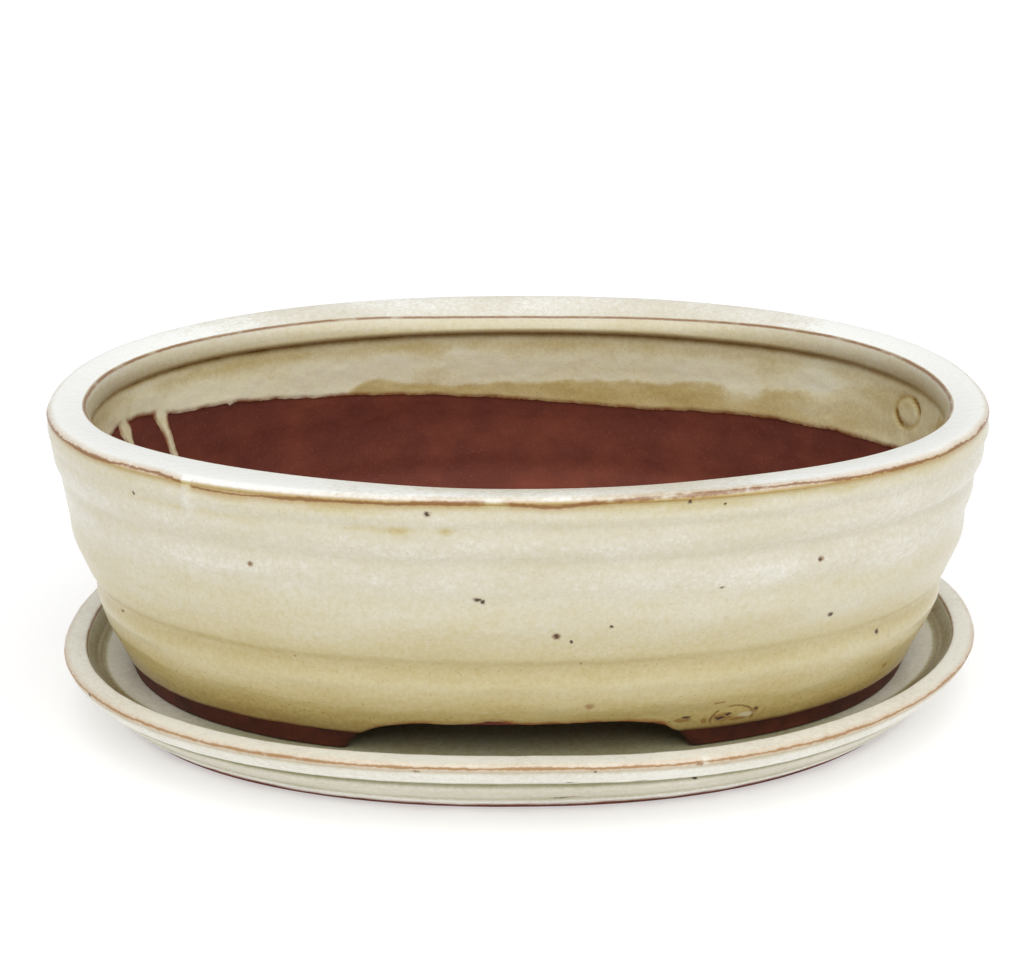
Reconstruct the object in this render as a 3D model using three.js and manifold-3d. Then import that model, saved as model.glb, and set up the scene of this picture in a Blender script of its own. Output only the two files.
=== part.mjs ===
// Oval glazed bonsai pot standing in its matching drip tray.
// Millimetres, +Z up, +X along the pot's length; the object stands on z = 0 and is centred on the Z axis.
//
// Four fired pieces: the bowl, two C-shaped feet luted under its ends, and the loose drip tray.
// Every piece is an oval solid: a section turned round the Z axis, with each ring of the turned
// surface stretched to its own half length and half width.

import * as THREE from 'three';
import { mergeVertices } from 'three/addons/utils/BufferGeometryUtils.js';
import Module from 'manifold-3d';

// ---- Driving dimensions ----

const POT_LENGTH = 300;
const POT_WIDTH = 216;
const POT_HEIGHT = 90;
const TRAY_LENGTH = 309.6;
const TRAY_WIDTH = 208.8;
const TRAY_HEIGHT = 24;
const WELL_DEPTH = 6;

const OVAL_POWER = 2.2; // superellipse exponent of the planform: 2 is an ellipse, more is squarer
const WALL = 8;
const JOINT_GAP = 0.3; // clearance between pieces that touch
const CUT_MARGIN = 1; // how far a cutting tool passes the surface it cuts

const FLARE = 17; // how far the bowl's outer wall draws in from the rim down to the glaze line
const FOOT_HEIGHT = 8;
const FOOT_TAPER = 2.7; // the feet draw in this much more, down to their soles
const FOOT_THICKNESS = 12; // of the feet and of the skirt above them
const SKIRT_HEIGHT = 6; // the wall reaches this far below the underside of the floor
const ARCH_WIDTH = 98; // front and back gap between the feet, at the glaze line
const ARCH_RISE = 5; // how far the arch rises into the skirt at its middle
const ARCH_END_SLOPE = 3; // each foot's end slopes back this much down to its sole

const FLOOR_THICKNESS = 8;
const LIP_DEPTH = 6.8; // height of the thick lip inside the rim
const RIM_DROP = 2; // the rim's top slopes down inwards
const LIP_AT_ENDS = 10.5; // width of the rim at the pot's two ends
const LIP_AT_SIDES = 16; // width of the rim along the two long sides
const LIP_SWELL = 3; // the lip's face comes inwards this much, down to its lower edge
const EDGE_BEVEL = 1; // on the inner edges of the pot's and the tray's rims

const FLOOR_CORNER = 8; // the rounded corner between wall and floor reaches this far in

const DRAIN_RADIUS = 10;
const DRAIN_SPACING = 124;

const TRAY_RIM_WIDTH = 7.4;
const TRAY_BASE_INSET = 18.6;
const TRAY_WELL_SLOPE = 4;
const TRAY_FLOOR_THICKNESS = 6;
const TRAY_RING_WIDTH = 9;
const TRAY_RING_DRAFT = 2; // the inside of the foot ring draws in this much, up to the underside

// Hand-pressed ware is a little out of true: each wave swells and shrinks the outline round the oval,
// by its cosine and sine amounts at the ends of the long axis.
const POT_WAVES = [{ count: 3, cosine: 0, sine: -1.6 }];
const TRAY_WAVES = [
  { count: 3, cosine: 1.7, sine: 2.1 },
  { count: 4, cosine: 0, sine: 1.4 },
];

const RADIAL_STEPS = 72;
const ARCH_STEPS = 12;
const DRAIN_STEPS = 32;
const CORNER_STEPS = 3; // straight steps in each small rounded corner
const WALL_STEPS = 16; // steps up the long flared wall

// ---- Derived levels ----

const trayFloor = TRAY_HEIGHT - WELL_DEPTH;
const footSole = trayFloor + JOINT_GAP;
const glazeLine = footSole + FOOT_HEIGHT;
const bowlUnderside = glazeLine + SKIRT_HEIGHT;
const bowlFloor = bowlUnderside + FLOOR_THICKNESS;
const rimTop = footSole + POT_HEIGHT;
const lipEdge = rimTop - RIM_DROP;
const lipBottom = lipEdge - LIP_DEPTH;

// ---- Materials ----

function fired(color, roughness) {
  return new THREE.MeshStandardMaterial({ color, roughness, metalness: 0 });
}

const creamGlaze = () => fired(0xd9d2ba, 0.25);
const bareClay = () => fired(0x5c2a20, 0.85);

// ---- Oval solids ----

// One ring of an oval solid: its half length, its half width and its height.
function ring(halfLength, halfWidth, height) {
  return { halfLength, halfWidth, height };
}

// Rings from the points of a path whose x is the inset from an oval outline and whose y is a height.
// sideInset is what the rings are drawn in further along the long sides.
function insetRings(path, steps, length, width, sideInset = 0) {
  return path.getPoints(steps).map(
    (point) => ring(length / 2 - point.x, width / 2 - point.x - sideInset, point.y),
  );
}

// A superellipse's coordinate along one half axis, from that axis's cosine or sine.
function superellipse(halfAxis, wave) {
  return halfAxis * Math.sign(wave) * Math.abs(wave) ** (2 / OVAL_POWER);
}

function waveFactor(angle, waves, halfLength) {
  const swell = waves.reduce(
    (sum, { count, cosine, sine }) => sum
      + cosine * Math.cos(count * angle)
      + sine * Math.sin(count * angle),
    0,
  );
  return 1 + swell / halfLength;
}

// Turns the rings round Z and stretches each one to its own oval.
function ovalGeometry(rings, waves) {
  const profile = rings.map(({ halfLength, height }) => new THREE.Vector2(halfLength, height));
  const geometry = new THREE.LatheGeometry(profile, RADIAL_STEPS);
  const position = geometry.getAttribute('position');
  for (let index = 0; index < position.count; index += 1) {
    const { halfLength, halfWidth, height } = rings[index % rings.length];
    const step = Math.floor(index / rings.length) % RADIAL_STEPS;
    const angle = (step / RADIAL_STEPS) * 2 * Math.PI;
    const factor = waveFactor(angle, waves, POT_LENGTH / 2);
    position.setXYZ(
      index,
      superellipse(halfLength, Math.cos(angle)) * factor,
      superellipse(halfWidth, Math.sin(angle)) * factor,
      height,
    );
  }
  return welded(geometry);
}

// A geometry with positions only, its shared vertices merged.
function welded(geometry) {
  const bare = geometry.clone();
  bare.deleteAttribute('normal');
  bare.deleteAttribute('uv');
  return mergeVertices(bare);
}

// ---- Cuts ----

const wasm = await Module();
wasm.setup();

function toManifold(geometry) {
  return new wasm.Manifold(new wasm.Mesh({
    numProp: 3,
    vertProperties: new Float32Array(geometry.getAttribute('position').array),
    triVerts: new Uint32Array(geometry.index.array),
  }));
}

function toGeometry(solid) {
  const mesh = solid.getMesh();
  const geometry = new THREE.BufferGeometry();
  geometry.setAttribute('position', new THREE.BufferAttribute(mesh.vertProperties, 3));
  geometry.setIndex(new THREE.BufferAttribute(mesh.triVerts, 1));
  return geometry;
}

function cut(geometry, ...tools) {
  const solid = tools.reduce(
    (body, tool) => body.subtract(toManifold(tool)),
    toManifold(geometry),
  );
  return toGeometry(solid);
}

// An outline in X and Z, drawn out along Y past both sides of the pot.
function alongWidth(outline) {
  const geometry = new THREE.ExtrudeGeometry(outline, {
    depth: 2 * POT_WIDTH,
    curveSegments: ARCH_STEPS,
    bevelEnabled: false,
  });
  geometry.rotateX(Math.PI / 2);
  geometry.translate(0, POT_WIDTH, 0);
  return welded(geometry);
}

// ---- Bowl ----

// Outer wall from the glaze line up to the rim: a foot curve, a ledge, a full belly, then a flared collar.
function outerWall() {
  const wallHeight = rimTop - glazeLine;
  const at = (inset, share) => new THREE.Vector2(inset * FLARE, glazeLine + share * wallHeight);
  const curve = new THREE.SplineCurve([
    at(1, 0),
    at(0.74, 0.15),
    at(0.66, 0.23),
    at(0.6, 0.3),
    at(0.38, 0.44),
    at(0.25, 0.56),
    at(0.2, 0.68),
    at(0.13, 0.77),
    at(0.02, 0.86),
    at(0, 0.93),
    at(0, 1),
  ]);
  return curve.getPoints(WALL_STEPS);
}

// Inner wall from under the lip down to the rounded corner of the floor.
function innerWall() {
  const wallHeight = lipBottom - bowlFloor;
  const at = (inset, share) => new THREE.Vector2(WALL + inset * FLARE, bowlFloor + share * wallHeight);
  const curves = new THREE.CurvePath();
  const cornerStart = at(0.75, 0.17);
  const cornerEnd = new THREE.Vector2(WALL + FLARE + FLOOR_CORNER, bowlFloor);
  curves.add(new THREE.CubicBezierCurve(at(0, 1), at(0.06, 0.57), at(0.6, 0.52), cornerStart));
  curves.add(new THREE.QuadraticBezierCurve(cornerStart, at(0.8, 0), cornerEnd));
  return curves.getPoints(WALL_STEPS / 2);
}

function bowlGeometry() {
  const outer = new THREE.Path(outerWall());
  const inner = new THREE.Path(innerWall());
  const lipSide = LIP_AT_SIDES - LIP_AT_ENDS;
  const lip = new THREE.Path([
    new THREE.Vector2(LIP_AT_ENDS - EDGE_BEVEL, lipEdge),
    new THREE.Vector2(LIP_AT_ENDS, lipEdge - EDGE_BEVEL),
    new THREE.Vector2(LIP_AT_ENDS + LIP_SWELL, lipBottom + EDGE_BEVEL),
    new THREE.Vector2(LIP_AT_ENDS + LIP_SWELL - EDGE_BEVEL, lipBottom),
  ]);
  const skirt = new THREE.Path([
    new THREE.Vector2(FLARE + FOOT_THICKNESS, bowlUnderside),
    new THREE.Vector2(FLARE + FOOT_THICKNESS, glazeLine),
  ]);
  const rings = [
    ring(0, 0, bowlUnderside),
    ...insetRings(skirt, 1, POT_LENGTH, POT_WIDTH),
    ...insetRings(outer, 1, POT_LENGTH, POT_WIDTH),
    ...insetRings(lip, 1, POT_LENGTH, POT_WIDTH, lipSide),
    ...insetRings(inner, 1, POT_LENGTH, POT_WIDTH),
    ring(0, 0, bowlFloor),
  ];
  const drains = [-1, 1].map((side) => {
    const drain = new THREE.CylinderGeometry(DRAIN_RADIUS, DRAIN_RADIUS, 3 * FLOOR_THICKNESS, DRAIN_STEPS);
    drain.rotateX(Math.PI / 2);
    drain.translate((side * DRAIN_SPACING) / 2, 0, bowlFloor);
    return welded(drain);
  });
  return cut(ovalGeometry(rings, POT_WAVES), archTool(), ...drains);
}

// A flat arch that runs right through the pot from front to back and is cut out of the skirt.
function archTool() {
  const halfWidth = ARCH_WIDTH / 2;
  const radius = (halfWidth ** 2 + ARCH_RISE ** 2) / (2 * ARCH_RISE);
  const reach = Math.asin(halfWidth / radius);
  const outline = new THREE.Shape();
  outline.absarc(0, glazeLine + ARCH_RISE - radius, radius, Math.PI / 2 - reach, Math.PI / 2 + reach);
  outline.lineTo(-halfWidth, footSole);
  outline.lineTo(halfWidth, footSole);
  return alongWidth(outline);
}

// ---- Feet ----

// The whole foot strip, from which the space beyond one side of the arch is cut away.
function footGeometry(side) {
  const top = glazeLine - JOINT_GAP;
  const strip = new THREE.Path([
    new THREE.Vector2(FLARE + FOOT_TAPER, footSole),
    new THREE.Vector2(FLARE, top),
    new THREE.Vector2(FLARE + FOOT_THICKNESS, top),
    new THREE.Vector2(FLARE + FOOT_THICKNESS, footSole),
    new THREE.Vector2(FLARE + FOOT_TAPER, footSole),
  ]);
  const rings = insetRings(strip, 1, POT_LENGTH, POT_WIDTH);
  const archEnd = ARCH_WIDTH / 2;
  const beyond = new THREE.Shape([
    new THREE.Vector2(POT_LENGTH, footSole - CUT_MARGIN),
    new THREE.Vector2(POT_LENGTH, top + CUT_MARGIN),
    new THREE.Vector2(-archEnd, top + CUT_MARGIN),
    new THREE.Vector2(-archEnd - ARCH_END_SLOPE, footSole - CUT_MARGIN),
  ]);
  const tool = alongWidth(beyond);
  if (side > 0) {
    tool.rotateZ(Math.PI);
  }
  return cut(ovalGeometry(rings, POT_WAVES), tool);
}

// ---- Drip tray ----

// Outer wall of the tray from its base up to the rim: a foot curve, a groove, then a flared band.
function trayWall() {
  const at = (inset, share) => new THREE.Vector2(inset * TRAY_BASE_INSET, share * TRAY_HEIGHT);
  return [
    at(1, 0),
    at(0.95, 0.06),
    at(0.72, 0.26),
    at(0.4, 0.5),
    at(0.43, 0.56),
    at(0.1, 0.84),
    at(0, 0.94),
  ];
}

function trayGeometry() {
  const outer = new THREE.Path(trayWall());
  const wellInset = TRAY_RIM_WIDTH + TRAY_WELL_SLOPE;
  const top = new THREE.Path();
  top.moveTo(EDGE_BEVEL, TRAY_HEIGHT);
  top.lineTo(TRAY_RIM_WIDTH - EDGE_BEVEL, TRAY_HEIGHT);
  top.quadraticCurveTo(TRAY_RIM_WIDTH, TRAY_HEIGHT, TRAY_RIM_WIDTH, TRAY_HEIGHT - EDGE_BEVEL);
  top.lineTo(wellInset - EDGE_BEVEL, trayFloor + EDGE_BEVEL);
  top.lineTo(wellInset, trayFloor);
  const underside = trayFloor - TRAY_FLOOR_THICKNESS;
  const recessInset = TRAY_BASE_INSET + TRAY_RING_WIDTH;
  const recess = new THREE.Path([
    new THREE.Vector2(recessInset + TRAY_RING_DRAFT, underside),
    new THREE.Vector2(recessInset, 0),
  ]);
  const rings = [
    ring(0, 0, underside),
    ...insetRings(recess, 1, TRAY_LENGTH, TRAY_WIDTH),
    ...insetRings(outer, 1, TRAY_LENGTH, TRAY_WIDTH),
    ...insetRings(top, CORNER_STEPS, TRAY_LENGTH, TRAY_WIDTH),
    ring(0, 0, trayFloor),
  ];
  return ovalGeometry(rings, TRAY_WAVES);
}

// ---- Assembly ----

function piece(name, geometry, material) {
  const mesh = new THREE.Mesh(geometry, material);
  mesh.name = name;
  return mesh;
}

const pot = new THREE.Group();
pot.add(
  piece('pot_bowl', bowlGeometry(), creamGlaze()),
  piece('foot_left', footGeometry(-1), bareClay()),
  piece('foot_right', footGeometry(1), bareClay()),
);

const set = new THREE.Group();
set.add(pot, piece('drip_tray', trayGeometry(), creamGlaze()));

const middle = new THREE.Box3().setFromObject(set).getCenter(new THREE.Vector3());
set.position.set(-middle.x, -middle.y, 0);

const assembly = new THREE.Group();
assembly.add(set);
assembly.updateMatrixWorld(true);

export default assembly;
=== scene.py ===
"""Oval glazed bonsai pot standing in its drip tray: the visual model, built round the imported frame.

Lengths are in millimetres until a mesh is made. Angles run round the oval from +X (the right-hand end)
through +Y (the back), so the front is at 270 degrees.
"""

import math

import bmesh
import bpy
import numpy as np
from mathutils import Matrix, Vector, noise


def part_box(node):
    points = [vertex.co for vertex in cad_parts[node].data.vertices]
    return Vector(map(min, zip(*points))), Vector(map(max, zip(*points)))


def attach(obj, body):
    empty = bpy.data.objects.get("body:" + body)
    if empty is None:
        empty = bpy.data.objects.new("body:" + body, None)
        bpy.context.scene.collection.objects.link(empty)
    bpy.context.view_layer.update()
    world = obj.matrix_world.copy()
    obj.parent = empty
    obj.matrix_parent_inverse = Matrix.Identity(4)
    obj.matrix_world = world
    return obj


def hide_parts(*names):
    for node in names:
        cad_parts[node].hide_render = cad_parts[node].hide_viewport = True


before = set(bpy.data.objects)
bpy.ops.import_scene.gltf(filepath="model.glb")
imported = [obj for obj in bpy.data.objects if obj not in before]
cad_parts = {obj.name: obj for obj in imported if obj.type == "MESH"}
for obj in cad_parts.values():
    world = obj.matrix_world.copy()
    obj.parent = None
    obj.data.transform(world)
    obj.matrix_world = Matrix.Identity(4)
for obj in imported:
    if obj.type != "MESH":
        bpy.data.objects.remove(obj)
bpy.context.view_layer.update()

MM = 0.001

# ---- Camera ----

LENS = 64.65
SENSOR_WIDTH = 36.0
CAMERA_DISTANCE = 615.8
CAMERA_ELEVATION = math.radians(20.79)
CAMERA_TURN = math.radians(1.16)
CAMERA_AIM = (-4.0, -1.1, 71.4)

# ---- Driving dimensions ----

OVAL_POWER = 2.2
OVAL_SAMPLES = 1441
WAVE_BASE = 150.0
POT_WAVES = ((3, 0.0, -1.6),)
TRAY_WAVES = ((3, 1.7, 2.1), (4, 0.0, 1.4))

POT_STEPS = 800
TRAY_STEPS = 720
FOOT_STEPS = 220

BOWL_LOW, BOWL_HIGH = (np.array(corner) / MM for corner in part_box("pot_bowl"))
TRAY_LOW, TRAY_HIGH = (np.array(corner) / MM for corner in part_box("drip_tray"))
FOOT_LOW, FOOT_HIGH = (np.array(corner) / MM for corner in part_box("foot_left"))
RIGHT_FOOT_LOW = np.array(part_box("foot_right")[0]) / MM

SOLE = FOOT_LOW[2]
GLAZE_LINE = BOWL_LOW[2]
RIM_TOP = BOWL_HIGH[2]
UNDERSIDE = GLAZE_LINE + 6.0
FLOOR = UNDERSIDE + 8.0
SKIRT_TOP = UNDERSIDE + 4.0
ARCH_HALF = (RIGHT_FOOT_LOW[0] - FOOT_HIGH[0]) / 2
ARCH_RISE = 5.0
ARCH_SHIFT = 3.5  # the right foot reaches this much further in than the left one
FLARE = 17.0
FOOT_THICKNESS = 12.0
FOOT_TAPER = 2.7

RIM_DROP = 2.0
LIP_DEPTH = 6.8
LIP_AT_ENDS = 10.5
LIP_SWELL = 0.75
SWELL_AT_SIDES = 0.4  # along the sides the lip swells more, by this share of the rim's extra width
THICK_UNDER_LIP = 1.1  # the wall under the lip takes up this share of the rim's extra width
WALL = 8.0
LIP_EDGE = RIM_TOP - RIM_DROP
LIP_BOTTOM = LIP_EDGE - LIP_DEPTH

DRAIN_RADIUS = 10.0
DRAIN_SPACING = 124.0
DRAIN_CUT = 40.0
DRAIN_SIDES = 64


# ---- Curves and ovals ----

def curve(points):
    """A smooth function through (x, y) points, for arrays of x."""
    xs, ys = np.array(points, float).T
    slopes = np.gradient(ys, xs)

    def value(x):
        x = np.clip(x, xs[0], xs[-1])
        index = np.clip(np.searchsorted(xs, x) - 1, 0, len(xs) - 2)
        width = xs[index + 1] - xs[index]
        t = (x - xs[index]) / width
        return (
            (1 + 2 * t) * (1 - t) ** 2 * ys[index]
            + t * (1 - t) ** 2 * width * slopes[index]
            + t * t * (3 - 2 * t) * ys[index + 1]
            + t * t * (t - 1) * width * slopes[index + 1]
        )

    return value


def around_curve(points):
    """A smooth function of the angle in degrees that closes on itself after one turn."""
    points = list(points)
    before = [(angle - 360, value) for angle, value in points[-2:]]
    after = [(angle + 360, value) for angle, value in points[:2]]
    value = curve(before + points + after)
    return lambda angle: value(np.mod(angle, 360))


def smooth(value, low, high):
    """0 below low, 1 above high, and an S-shaped slope between them."""
    t = np.clip((value - low) / (high - low), 0, 1)
    return t * t * (3 - 2 * t)


def bump(value, middle, width):
    """A bell of height 1."""
    return np.exp(-(((value - middle) / width) ** 2))


class Oval:
    """A superellipse outline, a little out of true, that fills a CAD node's box."""

    def __init__(self, low, high, waves):
        self.waves = waves
        self.half = (high[:2] - low[:2]) / 2
        self.middle = np.zeros(2)
        x, y = self.at(np.linspace(0, 2 * math.pi, OVAL_SAMPLES))
        spans = np.array([np.ptp(x), np.ptp(y)])
        self.half = self.half * (high[:2] - low[:2]) / spans
        x, y = self.at(np.linspace(0, 2 * math.pi, OVAL_SAMPLES))
        found = np.array([x.min() + x.max(), y.min() + y.max()]) / 2
        self.middle = (low[:2] + high[:2]) / 2 - found

    def at(self, angle, inset=0.0, scale=1.0):
        """Points at these angles, drawn in by the inset and then scaled about the oval's middle."""
        cosine, sine = np.cos(angle), np.sin(angle)
        swell = sum(c * np.cos(n * angle) + s * np.sin(n * angle) for n, c, s in self.waves)
        factor = (1 + swell / WAVE_BASE) * scale
        power = 2 / OVAL_POWER
        x = (self.half[0] - inset) * np.sign(cosine) * np.abs(cosine) ** power * factor
        y = (self.half[1] - inset) * np.sign(sine) * np.abs(sine) ** power * factor
        return x + self.middle[0], y + self.middle[1]


POT_OVAL = Oval(BOWL_LOW, BOWL_HIGH, POT_WAVES)
TRAY_OVAL = Oval(TRAY_LOW, TRAY_HIGH, TRAY_WAVES)


# ---- Meshes ----

def grid_normals(points):
    """Outward normals of a grid of rings, rings first, closed round each ring."""
    along = np.gradient(points, axis=0)
    round_ring = (np.roll(points, -1, axis=1) - np.roll(points, 1, axis=1)) / 2
    normals = np.cross(round_ring, along)
    return normals / np.maximum(np.linalg.norm(normals, axis=2, keepdims=True), 1e-9)


def noise_field(points, size, octaves=2, offset=0.0):
    """Smooth noise, about -1 to 1, on an array of points; size is one (x, y, z) feature size."""
    shape = points.shape[:-1]
    flat = points.reshape(-1, 3) / np.array(size, float) + offset
    values = [noise.fractal(Vector(p), 1.0, 2.0, octaves) for p in flat.tolist()]
    return np.array(values).reshape(shape)


def mesh_object(name, vertices, faces, fields=None):
    """A smooth-shaded mesh object in metres, with one float attribute for each field."""
    mesh = bpy.data.meshes.new(name)
    mesh.from_pydata((vertices * MM).tolist(), [], faces)
    mesh.validate()
    for field, values in (fields or {}).items():
        attribute = mesh.attributes.new(field, "FLOAT", "POINT")
        attribute.data.foreach_set("value", np.asarray(values, np.float32).ravel())
    mesh.polygons.foreach_set("use_smooth", [True] * len(mesh.polygons))
    mesh.update()
    made = bpy.data.objects.new(name, mesh)
    bpy.context.scene.collection.objects.link(made)
    return made


def ring_faces(rings, steps):
    """Quads between closed rings, with a fan at each end that meets one vertex."""
    first, last = 0, 1 + rings * steps
    step = np.arange(steps)
    following = (step + 1) % steps
    faces = [(first, 1 + b, 1 + a) for a, b in zip(step.tolist(), following.tolist())]
    for ring in range(rings - 1):
        base = 1 + ring * steps
        above = base + steps
        quads = np.stack([base + step, base + following, above + following, above + step], 1)
        faces.extend(map(tuple, quads.tolist()))
    base = 1 + (rings - 1) * steps
    faces.extend((base + a, base + b, last) for a, b in zip(step.tolist(), following.tolist()))
    return faces


def turned_solid(name, points, fields):
    """A closed solid from a grid of rings whose first and last rings close on a middle vertex."""
    rings, steps = points.shape[:2]
    vertices = np.vstack([points[0].mean(0), points.reshape(-1, 3), points[-1].mean(0)])
    padded = {
        field: np.concatenate([[values[0].mean()], values.ravel(), [values[-1].mean()]])
        for field, values in fields.items()
    }
    return mesh_object(name, vertices, ring_faces(rings, steps), padded)


# ---- The bowl's section ----

# Inset of the outer wall from the rim outline, by height above the foot soles.
wall_inset = curve([
    (6, 17.6), (8, 17.0), (14, 14.9), (20, 12.7), (27, 11.2), (33, 10.0), (38, 8.2), (44, 6.2), (50, 4.6),
    (57, 4.0), (64, 3.3), (70, 2.0), (76, 0.7), (82, 0.0), (90, 0.0),
])

# Inset of the inner wall, by height above the pot's inner floor.
inner_inset = curve([
    (0, WALL + 17), (4, WALL + 13.5), (12, WALL + 11), (30, WALL + 7), (45, WALL + 3.6), (60, WALL + 1.5),
])

# The hand-trimmed rim, by angle: how wide it is, and how far its inner edge drops below its outer edge.
rim_width = around_curve([
    (0, 10.5), (30, 12.0), (60, 15.0), (90, 16.0), (120, 15.3), (150, 12.3), (180, 10.5), (205, 13.0),
    (222, 16.2), (242, 17.2), (250, 16.8), (264, 15.0), (272, 14.6), (282, 14.8), (292, 15.4),
    (320, 13.4), (340, 11.5),
])
rim_drop = around_curve([
    (0, 2.0), (45, 2.0), (70, 3.3), (86, 3.9), (98, 3.6), (112, 2.3), (140, 2.0), (235, 1.8), (268, 2.5),
    (300, 2.0),
])

RIM_RADIUS = 1.7
EDGE_RADIUS = 1.2
BEAD_RADIUS = 1.0
HEM_RADIUS = 1.0
FILLET = 2.0
INNER_SKIRT = FLARE + FOOT_THICKNESS
GLAZE_HANG = 1.1  # the glaze hangs this far over the tops of the feet
HEM = GLAZE_LINE - GLAZE_HANG


def arc(centre, radius, start, end, steps):
    """Points on an arc in (inset, height); angles in degrees, 0 towards more inset, 90 up."""
    turn = np.radians(np.linspace(start, end, steps))
    return [(centre[0] + radius * math.cos(t), centre[1] + radius * math.sin(t)) for t in turn]


class Section:
    """Rings from the middle of the underside out, up, over the rim and in to the middle of the floor."""

    def __init__(self):
        self.rows = []

    def add(self, points, region, scale=1.0, widened=0.0, dropped=0.0):
        """widened and dropped are the shares of the rim's own width and drop that these rings follow."""
        for inset, height in points:
            self.rows.append((inset, height, scale, widened, dropped, region))

    def arrays(self):
        columns = [np.array(column) for column in zip(*self.rows)]
        return [column[:, None] for column in columns]


def add_underside(section):
    """The middle of the underside, and the skirt's inner face and lower edge."""
    for scale in np.linspace(0.04, 0.96, 12):
        section.add([(INNER_SKIRT + FILLET, UNDERSIDE)], "under", scale=scale)
    section.add(arc((INNER_SKIRT + FILLET, UNDERSIDE - FILLET), FILLET, 90, 180, 5), "under")
    skirt_heights = np.linspace(UNDERSIDE - FILLET - 0.8, GLAZE_LINE + HEM_RADIUS + 0.4, 4)
    section.add([(INNER_SKIRT, height) for height in skirt_heights], "skirt")
    section.add(arc((INNER_SKIRT - HEM_RADIUS, GLAZE_LINE + HEM_RADIUS), HEM_RADIUS, 0, -90, 4), "skirt")
    section.add([(inset, GLAZE_LINE) for inset in np.linspace(INNER_SKIRT - 3, FLARE + 3.4, 5)], "skirt")
    section.add([(FLARE + 2.4, GLAZE_LINE - 0.4)], "skirt")
    section.add(arc((FLARE + 1.6, HEM + HEM_RADIUS), HEM_RADIUS, -90, -150, 4), "skirt")


def add_rim(section):
    """The rounded outer edge, the sloping top and the inner corner."""
    section.add(arc((RIM_RADIUS, RIM_TOP - RIM_RADIUS), RIM_RADIUS, 170, 95, 8), "rim")
    start = RIM_RADIUS + 0.3
    for share in np.linspace(0.0, 1.0, 14):
        inset = start + share * (LIP_AT_ENDS - EDGE_RADIUS - start)
        fall = share ** 1.4
        section.add([(inset, RIM_TOP - RIM_DROP * fall)], "rim", widened=share, dropped=fall)
    corner = arc((LIP_AT_ENDS - EDGE_RADIUS, LIP_EDGE - EDGE_RADIUS), EDGE_RADIUS, 72, 25, 5)
    section.add(corner, "lip", widened=1.0, dropped=1.0)


def add_lip(section):
    """The lip's face, which swells inwards on its way down, and its rounded lower edge."""
    face_top = LIP_EDGE - 0.6 * EDGE_RADIUS
    face_foot = LIP_BOTTOM + 1.2 * BEAD_RADIUS
    for share in np.linspace(0.12, 1.0, 10):
        inset = LIP_AT_ENDS + LIP_SWELL * share + 0.4 * math.sin(math.pi * share)
        height = face_top + (face_foot - face_top) * share
        section.add([(inset, height)], "lip", widened=1 + SWELL_AT_SIDES * share, dropped=1 - share)
    foot = LIP_AT_ENDS + LIP_SWELL
    under = arc((foot - BEAD_RADIUS, LIP_BOTTOM + BEAD_RADIUS), BEAD_RADIUS, 5, -85, 5)
    section.add(under, "lip", widened=1 + SWELL_AT_SIDES)
    section.add([(foot - 1.5, LIP_BOTTOM + 0.1)], "inside", widened=THICK_UNDER_LIP + 0.05)
    section.add([(WALL + 1.8, LIP_BOTTOM - 0.1)], "inside", widened=THICK_UNDER_LIP)


def bowl_section():
    section = Section()
    add_underside(section)
    for height in np.linspace(HEM + 0.5, RIM_TOP - RIM_RADIUS, 96):
        section.add([(float(wall_inset(height - SOLE)), height)], "outside")
    add_rim(section)
    add_lip(section)
    for height in np.linspace(LIP_BOTTOM - 1.2, FLOOR + 4, 62):
        thickened = THICK_UNDER_LIP * float(smooth(height, LIP_BOTTOM - 38, LIP_BOTTOM - 2))
        section.add([(float(inner_inset(height - FLOOR)), height)], "inside", widened=thickened)
    corner = [(float(inner_inset(rise)), FLOOR + rise) for rise in (2.6, 1.5, 0.7, 0.2)]
    section.add(corner, "floor")
    for scale in np.linspace(0.985, 0.03, 30):
        section.add([(WALL + 17.5, FLOOR)], "floor", scale=scale)
    return section.arrays()


def arch_edge(x):
    """Height of the skirt's lower edge across the pot's length: an arch at the front and the back."""
    half_shift = ARCH_SHIFT / 2
    from_middle = np.abs(x - POT_OVAL.middle[0] + half_shift)
    share = np.clip(1 - from_middle / (ARCH_HALF - half_shift), 0, 1)
    return HEM + (ARCH_RISE + GLAZE_HANG - 0.3) * (1 - (1 - share) ** 6)


# ---- Glaze on the bowl ----

GLAZE_THICKNESS = 0.55
GLAZE_LIMIT = 20.0  # distances from the glaze's edge are kept within this

# Inside, by angle: where the glaze stops, and where its thick white coat stops; heights.
inner_glaze_edge = around_curve([
    (0, 80), (14, 75.5), (27, 73), (45, 72), (61, 70.6), (74, 69.7), (84, 71.2), (97, 73.8), (115, 76.7),
    (125, 78), (140, 81), (150, 82), (158, 85), (170, 87), (185, 80), (210, 74), (250, 72), (300, 73),
    (340, 78),
])
white_coat_edge = around_curve([
    (0, 96), (25, 92), (38, 86), (50, 81), (61, 82), (70, 80), (80, 79.8), (89, 78.8), (99, 78.5),
    (106, 80.5), (111, 82.5), (114, 80), (117, 75), (130, 74), (180, 74), (250, 76), (300, 80), (340, 90),
])

# Drips of glaze that run down over the bare clay inside: angle, width, and the height they reach.
DRIPS = ((156.0, 5.0, 52.0), (167.6, 5.0, 60.0), (138.8, 1.8, 80.0), (207.0, 3.5, 60.0))

# Thick white patches in the coat inside: angle, height, radius, strength.
WHITE_PATCHES = (
    (107.5, 86, 6, 0.25), (97.5, 90, 4, 0.25), (95.5, 87, 4, 0.3), (93.5, 83, 4, 0.25),
    (60.5, 84, 6, 0.2), (54, 82, 6, 0.35), (50.5, 81, 4, 0.3), (37.5, 89, 5, 0.4),
    (120, 84, 9, 0.2), (160, 90, 8, 0.2),
)

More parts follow.
